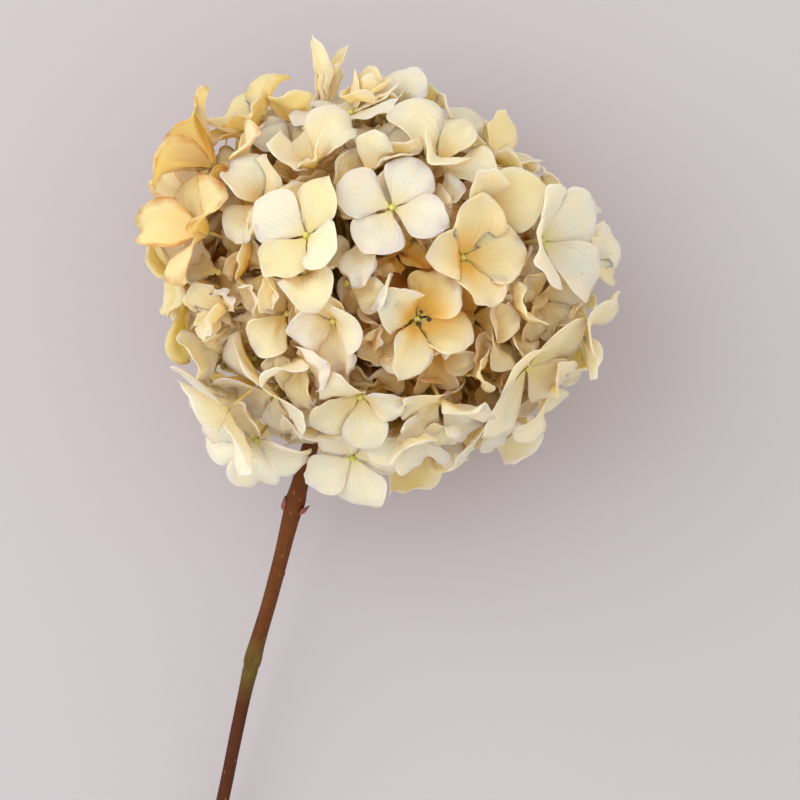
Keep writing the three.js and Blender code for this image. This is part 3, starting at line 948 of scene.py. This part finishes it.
def buildRays():
    feet = np.array([headCentre + unit(f["eye"] - headCentre) * stalk["foot"] for f in florets])
    for node, fork, way in zip(rayNodes, forks, rayWays):
        points = nodePoints(node)
        parts = Parts()
        line = np.linspace(hub + way * 3.6, fork + way * 0.8, 9)
        swell = 1 + rays["knuckle"] * np.exp(-((np.linspace(0, 1, 9) - 0.9) ** 2) / 0.02)
        parts.take(*tube(line, rays["radius"] * swell, 12), 0)
        for foot in feet:
            if np.linalg.norm(points - foot, axis=1).min() > rays["reach"]:
                continue
            out = unit(foot - headCentre)
            twig = bezier(fork - way * 1.2, fork + way * 5, foot - out * 12, foot + out * 0.2, rays["steps"])
            radii = rays["twig"] * (1 + 0.25 * np.exp(-np.arange(rays["steps"]) / 1.5))
            parts.take(*tube(twig, radii), 0)
        piece = parts.build("twigs_" + node[-1], [stalkMaterial])
        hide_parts(node)
    print("grew", len(forks), "rays")


buildRays()

# the florets on the left have dried further, to gold with brown margins, and one bowl has turned peach
further = {"across": (34, 62), "along": (-32, -8), "scorch": 1.1, "gold": 0.2, "peach": 0.1}
leftness = smooth(-(eyes - headCentre)[:, 0], *further["across"])
leftness = leftness * smooth((eyes - headCentre)[:, 1], *further["along"])
scorchOf = further["scorch"] * leftness * random.uniform(0.5, 1, len(eyes))
goldOf = further["gold"] * leftness * random.uniform(0.4, 1, len(eyes))
goldOf[floretNodes.index("floret_03")] = further["peach"]
for i, f in enumerate(florets):
    piece = buildFloret("sepals_" + f["node"][-2:], [i])
    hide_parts(f["node"])
innerPieces = 7
for k in range(innerPieces):
    members = [len(florets) + i for i in range(len(innerOnes)) if i % innerPieces == k]
    piece = buildFloret(f"inner_sepals_{k + 1}", members, forks)
print("built the florets")

# a few buds that never opened and withered dark, in the hollow of the head
witheredBuds = {
    "at": (17.5, -11.0, 58.0),
    "depth": 11.0,
    "count": 7,
    "spread": 2.0,
    "shrunk": (0.35, 0.8),
    "stalk": 0.4,
    "dark": "#241810",
    "brown": "#5B3C1F",
}


def buildWitheredBuds():
    way = unit(np.array(witheredBuds["at"]))
    middle = headCentre + way * (np.linalg.norm(way * headHalf) - witheredBuds["depth"])
    parts = Parts()
    for _ in range(witheredBuds["count"]):
        place = middle + random.normal(size=3) * witheredBuds["spread"]
        normal = unit(way + random.normal(size=3) * 0.5)
        points, faces = beadMesh(place, normal, floretBasis(normal, 0))
        points = place + (points - place) * random.uniform(*witheredBuds["shrunk"], 3)
        parts.take(points, faces, 0)
        foot = headCentre + way * stalk["foot"]
        line = bezier(foot, foot + way * 4, place - normal * 4, place, 8)
        parts.take(*tube(line, witheredBuds["stalk"]), 0)
    material = greenStalk("withered flower bud", witheredBuds["dark"], witheredBuds["brown"], 900.0)
    piece = parts.build("withered_buds", [material])


buildWitheredBuds()

# the stem and the two bud scales

stem = {
    "sides": 40,
    "rings": 260,
    "ridge": 0.07,
    "cutSlant": 0.75,
    "cutRings": 12,
    "knots": [
        {"at": 0.24, "swell": 0.55, "spread": 0.010, "slant": 0.010},
        {"at": 0.48, "swell": 0.35, "spread": 0.012, "slant": -0.008},
        {"at": 0.84, "swell": 0.4, "spread": 0.012, "slant": 0.008},
    ],
    "scars": [
        {"at": 0.48, "turn": 80, "size": (1.5, 2.6), "depth": 0.55},
        {"at": 0.345, "turn": 5, "size": (0.5, 0.6), "depth": -0.9},
        {"at": 0.84, "turn": 200, "size": (1.5, 2.2), "depth": 0.5},
    ],
}


def stemRadii(line):
    out = []
    for p in line:
        near = stemPoints[abs(stemPoints[:, 1] - p[1]) < stemReading["radiusBand"]]
        d = near - p
        out.append(np.median(np.hypot(d[:, 0], d[:, 2])))
    return np.array(out)


def buildStem():
    coarseLine = stemLine()[::-1]  # from the knob to the cut
    n, around = stem["rings"], stem["sides"]
    knots = np.linspace(0, 1, len(coarseLine))
    u = np.linspace(0, 1, n)
    line = np.stack([np.interp(u, knots, coarseLine[:, k]) for k in range(3)], 1)
    for _ in range(6):
        line[1:-1] = (line[:-2] + line[1:-1] + line[2:]) / 3
    radii = np.interp(u, knots, stemRadii(coarseLine))
    radii = np.convolve(np.pad(radii, 9, "edge"), np.ones(19) / 19, "valid")
    way = unit(np.gradient(line, axis=0))
    side = np.array([1.0, 0, 0])
    turn = np.linspace(0, 2 * math.pi, around, endpoint=False)
    points = []
    for i in range(n):
        side = unit(side - (side @ way[i]) * way[i])
        other = np.cross(way[i], side)
        other = other if other[2] > 0 else -other
        r = np.full(around, radii[i])
        r += stem["ridge"] * np.sin(7 * turn + 2 * math.sin(u[i] * 21)) * 0.6
        r += stem["ridge"] * np.sin(13 * turn + 17 * u[i]) * 0.4
        for knot in stem["knots"]:  # a swelling, with a groove under it
            off = (u[i] - knot["at"] + knot["slant"] * np.cos(turn * 2)) / knot["spread"]
            r += knot["swell"] * np.exp(-(off**2) / 2) * (0.6 + 0.4 * np.cos(turn * 2) ** 2)
            r -= 0.28 * np.exp(-((off - 1.1) ** 2) / 0.12)
        for scar in stem["scars"]:  # a dent with a raised rim, or a bump
            aside = (turn - math.radians(scar["turn"]) + math.pi) % (2 * math.pi) - math.pi
            d = (aside * radii[i] / scar["size"][0]) ** 2
            d = d + ((u[i] - scar["at"]) * 250 / scar["size"][1]) ** 2
            r -= scar["depth"] * np.exp(-d * 2.2)
            r += abs(scar["depth"]) * 0.55 * np.exp(-((np.sqrt(d) - 1.25) ** 2) / 0.06) * (scar["depth"] > 0)
        points.append(line[i] + r[:, None] * (np.cos(turn)[:, None] * side + np.sin(turn)[:, None] * other))
    points = np.array(points)
    lean = (points[-1] - line[-1])[:, 0]
    slant = np.linspace(0, 1, stem["cutRings"])[:, None] ** 2 * lean * stem["cutSlant"]
    points[-stem["cutRings"] :] += slant[..., None] * way[-1]
    points[..., 2] = np.maximum(points[..., 2], 0.05)
    parts = Parts()
    along, across = np.repeat(u, around), np.tile(turn, n)
    parts.take(points.reshape(-1, 3), ringFaces(n, around), 0, along=along, across=across)
    parts.slots[-1] = 1  # the cut face shows the pith
    piece = parts.build("woody_stem", [bark(), pith()])
    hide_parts("stem")


barkLook = {
    "stops": [
        (0.0, "#784818"),  # orange-brown at the neck
        (0.2, "#683814"),
        (0.44, "#633615"),
        (0.485, "#63501F"),  # still olive round the middle node
        (0.515, "#63501F"),
        (0.56, "#502710"),
        (1.0, "#502710"),
    ],
    "streak": "#351A0D",
    "lenticel": "#A6743F",
    "streaks": 900.0,  # 1.1 mm round the stem and drawn out 17 times along it
    "blotches": 120.0,  # 8 mm
    "lenticels": 420.0,  # pores 0.4 mm wide and twice as long, one in about 2.4 mm
    "roughness": 0.58,
    "gloss": 0.16,
    "relief": 0.15,
}


def bark():
    # Young woody stem whose thin bark has shrunk as it dried: dull and faintly ribbed, with dark
    # streaks along it, so its lit side goes smoothly into a deep brown. Pale raised pores dot it.
    material, tree, shader = newMaterial("smooth young hydrangea bark")
    look = barkLook
    along = add(tree, "ShaderNodeAttribute", {"attribute_name": "along"}).outputs["Fac"]
    place = add(tree, "ShaderNodeTexCoord").outputs["Object"]
    age = add(tree, "ShaderNodeValToRGB", None, Fac=along)
    stops = age.color_ramp.elements
    stops[0].color = linear(look["stops"][0][1])
    stops[1].position = 1.0
    stops[1].color = linear(look["stops"][-1][1])
    for at, colour in look["stops"][1:-1]:
        stops.new(at).color = linear(colour)
    drawnOut = add(tree, "ShaderNodeMapping", None, Vector=place, Scale=(1.0, 0.06, 1.0))
    streaks = add(tree, "ShaderNodeTexNoise", None, Vector=drawnOut, Scale=look["streaks"], Detail=4.0)
    blotch = add(tree, "ShaderNodeTexNoise", None, Vector=place, Scale=look["blotches"], Detail=3.0)
    dark = add(tree, "ShaderNodeMapRange", None, Value=streaks, From_Min=0.5, From_Max=0.75, To_Max=0.55)
    shade = add(tree, "ShaderNodeMapRange", None, Value=blotch, From_Min=0.45, From_Max=0.8, To_Max=0.4)
    dark = add(tree, "ShaderNodeMath", {"operation": "MAXIMUM"}, _0=dark, _1=shade)
    brown = add(tree, "ShaderNodeMix", {"data_type": "RGBA"}, _0=dark, _6=age, _7=linear(look["streak"]))
    longer = add(tree, "ShaderNodeMapping", None, Vector=place, Scale=(1.0, 0.45, 1.0))
    pores = add(tree, "ShaderNodeTexVoronoi", None, Vector=longer, Scale=look["lenticels"])
    pale = add(tree, "ShaderNodeMapRange", None, Value=pores, From_Min=0.16, From_Max=0.08, To_Max=0.5)
    paint = add(tree, "ShaderNodeMix", {"data_type": "RGBA"}, _0=pale, _6=brown, _7=linear(look["lenticel"]))
    height = add(tree, "ShaderNodeMath", {"operation": "ADD"}, _0=streaks, _1=pale)
    bump = add(tree, "ShaderNodeBump", None, Height=height, Strength=0.5, Distance=look["relief"] * mm)
    sockets = {"Base Color": paint, "Roughness": look["roughness"], "Specular IOR Level": look["gloss"]}
    setSockets(tree, shader, {**sockets, "Normal": bump})
    return material


def pith():
    # The spongy pith that a knife has cut across: straw-coloured, open-celled and without any shine
    material, tree, shader = newMaterial("knife-cut stem end")
    place = add(tree, "ShaderNodeTexCoord").outputs["Object"]
    cells = add(tree, "ShaderNodeTexNoise", None, Vector=place, Scale=1800.0, Detail=3.0)  # 0.6 mm cells
    pale, brown = linear("#D9C79A"), linear("#A98D5A")
    paint = add(tree, "ShaderNodeMix", {"data_type": "RGBA"}, _0=cells, _6=pale, _7=brown)
    setSockets(tree, shader, {"Base Color": paint, "Roughness": 0.85})
    return material


budScale = {
    "rings": 14,
    "sides": 12,
    "seat": 3.1,  # from the stem's middle line to the foot
    "colour": "#8A452C",
    "tip": "#3A1D14",
    "mottle": 900.0,  # 1.1 mm
    "left": {
        "bulge": 0.6,
        "tipAside": 0.9,
        "width": 1.5,
        "thickness": 1.0,
        "lift": 16,
        "length": 5.2,
    },
    "right": {
        "bulge": 0.8,
        "tipAside": 3.1,
        "width": 1.9,
        "thickness": 0.75,
        "lift": 30,
        "length": 4.4,
    },
}


def buildBudScale(node):
    which = node.split("_")[-1]
    form = budScale[which]
    points = nodePoints(node)
    line = stemLine()
    near = np.linalg.norm(line - points.mean(0), axis=1).argmin()
    way = unit(line[near + 1] - line[near - 1])
    sign = -1 if which == "left" else 1
    lift = math.radians(form["lift"])
    out = unit(np.array([sign * math.cos(lift), 0, math.sin(lift)]))
    out = unit(out - (out @ way) * way)
    wide = np.cross(way, out)
    foot = points[points[:, 1].argmin()]
    foot = line[near] + way * ((foot - line[near]) @ way) + out * budScale["seat"]
    t = np.linspace(0, 1, budScale["rings"])[:, None]
    spine = foot + way * form["length"] * t
    spine += out * (form["bulge"] * np.sin(math.pi * t**0.7) + form["tipAside"] * t**1.5 + 0.15)
    spread = np.sin(math.pi * (0.2 + 0.8 * t)) ** 0.8 * (1 - 0.2 * t) + 0.04
    turn = np.linspace(0, 2 * math.pi, budScale["sides"], endpoint=False)[None]
    aside = form["width"] * spread * np.cos(turn)
    thick = form["thickness"] * (0.9 * (1 - t) ** 1.2 + 0.25) * np.sin(turn)
    thick = thick - 0.55 * form["width"] * spread * np.cos(turn) ** 2 * smooth(t, 0.15, 0.6)
    rings = spine[:, None] + aside[..., None] * wide + thick[..., None] * out
    parts = Parts()
    along = np.repeat(t[:, 0], budScale["sides"])
    parts.take(rings.reshape(-1, 3), ringFaces(budScale["rings"], budScale["sides"]), 0, along=along)
    piece = parts.build("dried_" + node, [scaleMaterial])
    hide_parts(node)


def driedScale():
    # A papery bud scale that has dried on the stem: red-brown, darker where it has withered at the tip,
    # with a dull wrinkled skin
    material, tree, shader = newMaterial("dried bud scale")
    along = add(tree, "ShaderNodeAttribute", {"attribute_name": "along"}).outputs["Fac"]
    place = add(tree, "ShaderNodeTexCoord").outputs["Object"]
    cloud = add(tree, "ShaderNodeTexNoise", None, Vector=place, Scale=budScale["mottle"], Detail=4.0)
    part = add(tree, "ShaderNodeMath", {"operation": "MULTIPLY_ADD"}, _0=cloud, _1=0.5, _2=along)
    part = add(tree, "ShaderNodeMapRange", None, Value=part, From_Min=0.7, From_Max=1.3)
    fresh, withered = linear(budScale["colour"]), linear(budScale["tip"])
    paint = add(tree, "ShaderNodeMix", {"data_type": "RGBA"}, _0=part, _6=fresh, _7=withered)
    bump = add(tree, "ShaderNodeBump", None, Height=cloud, Strength=0.5, Distance=0.15 * mm)
    setSockets(tree, shader, {"Base Color": paint, "Roughness": 0.55, "Normal": bump})
    return material


scaleMaterial = driedScale()
buildStem()
buildBudScale("bud_scale_left")
buildBudScale("bud_scale_right")
print("built the stem and its scales")

# floor, light and camera

studio = {
    "floor": "#BAB4B9",
    "floorReach": 3000.0,
    "world": "#F6F2EE",
    "worldStrength": 1.04,
    "keyPower": 15.5,
    "keySize": 1.6,
    "fillPower": 1.6,
    "roll": 13.5,
    "aim": (16.6, -40.1),
    "height": 1000.0,
    "lens": 125.0,
}


def setStudio():  # the key light is high on the left of the picture and a weaker one fills from the right
    scene = bpy.context.scene
    scene.view_settings.view_transform = "Standard"
    far = studio["floorReach"]
    corners = np.array([[-far, -far, 0], [far, -far, 0], [far, far, 0], [-far, far, 0]])
    floor = meshPiece("floor", corners, [[0, 1, 2, 3]])
    # uncoated grey paper without any shine, so that only the shadows break it
    material, tree, shader = newMaterial("matt paper sweep")
    setSockets(tree, shader, {"Base Color": linear(studio["floor"]), "Roughness": 0.9})
    floor.data.materials.append(material)
    world = bpy.data.worlds.new("studio")
    scene.world = world
    world.use_nodes = True
    world.node_tree.nodes["Background"].inputs["Color"].default_value = linear(studio["world"])
    world.node_tree.nodes["Background"].inputs["Strength"].default_value = studio["worldStrength"]
    roll = math.radians(studio["roll"])
    right = Vector((math.cos(roll), math.sin(roll), 0))
    up = Vector((-math.sin(roll), math.cos(roll), 0))
    head = Vector(headCentre * mm)

    def softbox(name, place, power, size):
        light = bpy.data.lights.new(name, "AREA")
        light.energy = power
        light.size = size
        lamp = bpy.data.objects.new(name, light)
        lamp.location = head + place
        lamp.rotation_euler = (-place).to_track_quat("-Z", "Y").to_euler()
        scene.collection.objects.link(lamp)
        return lamp

    softbox("key", -right * 1.02 + up * 0.42 + Vector((0, 0, 1.2)), studio["keyPower"], studio["keySize"])
    softbox("fill", right * 0.5 + Vector((0, 0, 1.1)), studio["fillPower"], 1.2)
    camera = bpy.data.objects.new("camera", bpy.data.cameras.new("camera"))
    camera.data.lens = studio["lens"]
    camera.data.sensor_width = 36
    aim = Vector((headCentre[0] + studio["aim"][0], headCentre[1] + studio["aim"][1], headCentre[2])) * mm
    camera.location = aim + Vector((0, 0, studio["height"] * mm))
    camera.rotation_euler = (0, 0, roll)
    scene.collection.objects.link(camera)
    scene.camera = camera


setStudio()
